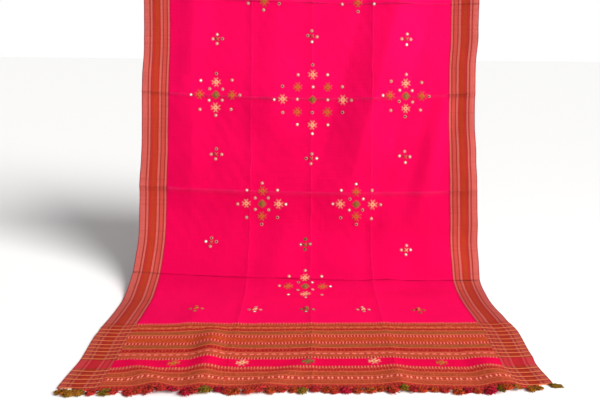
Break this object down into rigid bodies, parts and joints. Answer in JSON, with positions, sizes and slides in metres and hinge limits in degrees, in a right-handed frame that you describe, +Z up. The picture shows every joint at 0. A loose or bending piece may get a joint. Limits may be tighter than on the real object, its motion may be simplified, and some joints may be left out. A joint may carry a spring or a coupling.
{
  "type": "shawl on a rail",
  "caption": "Handloom shawl with mirror work, woven side borders and tufted ends, hung over a round rail with its lower end swept forward on the floor.",
  "frame": {"origin": "middle of the round rail that holds the shawl", "axes": "+Z up, +X along the rail to the right seen from the front, -Y towards the front, where the lower end lies on the floor"},
  "size_m": [1.1, 0.8044, 0.9438],
  "materials": {
    "field_cloth": "matt handloom weave, hot magenta pink",
    "border_cloth": "matt handloom weave, striped coral, rust and red",
    "end_panel_cloth": "matt handloom weave, dotted bands in coral, rust, olive and cream",
    "fringe_yarn": "soft loose yarn, olive, mustard, red and magenta",
    "embroidery_thread": "stitched cotton thread, cream, ochre and olive",
    "mirror_glass": "small round mirrors, slightly dulled",
    "rail_wood": "plain turned wood, clear oil"
  },
  "bodies": {
    "root": {"left_border_on_floor": "border_cloth", "field_on_floor": "field_cloth", "right_border_on_floor": "border_cloth", "left_border_sweep": "border_cloth", "field_sweep": "field_cloth", "right_border_sweep": "border_cloth", "left_border_hanging": "border_cloth", "field_hanging": "field_cloth", "right_border_hanging": "border_cloth", "left_border_over_rail": "border_cloth", "field_over_rail": "field_cloth", "right_border_over_rail": "border_cloth", "left_border_back": "border_cloth", "field_back": "field_cloth", "right_border_back": "border_cloth", "end_panel_front": "end_panel_cloth", "end_panel_back": "end_panel_cloth", "fringe_front": "fringe_yarn", "fringe_back": "fringe_yarn", "rail": "rail_wood"}
  },
  "joints": []
}
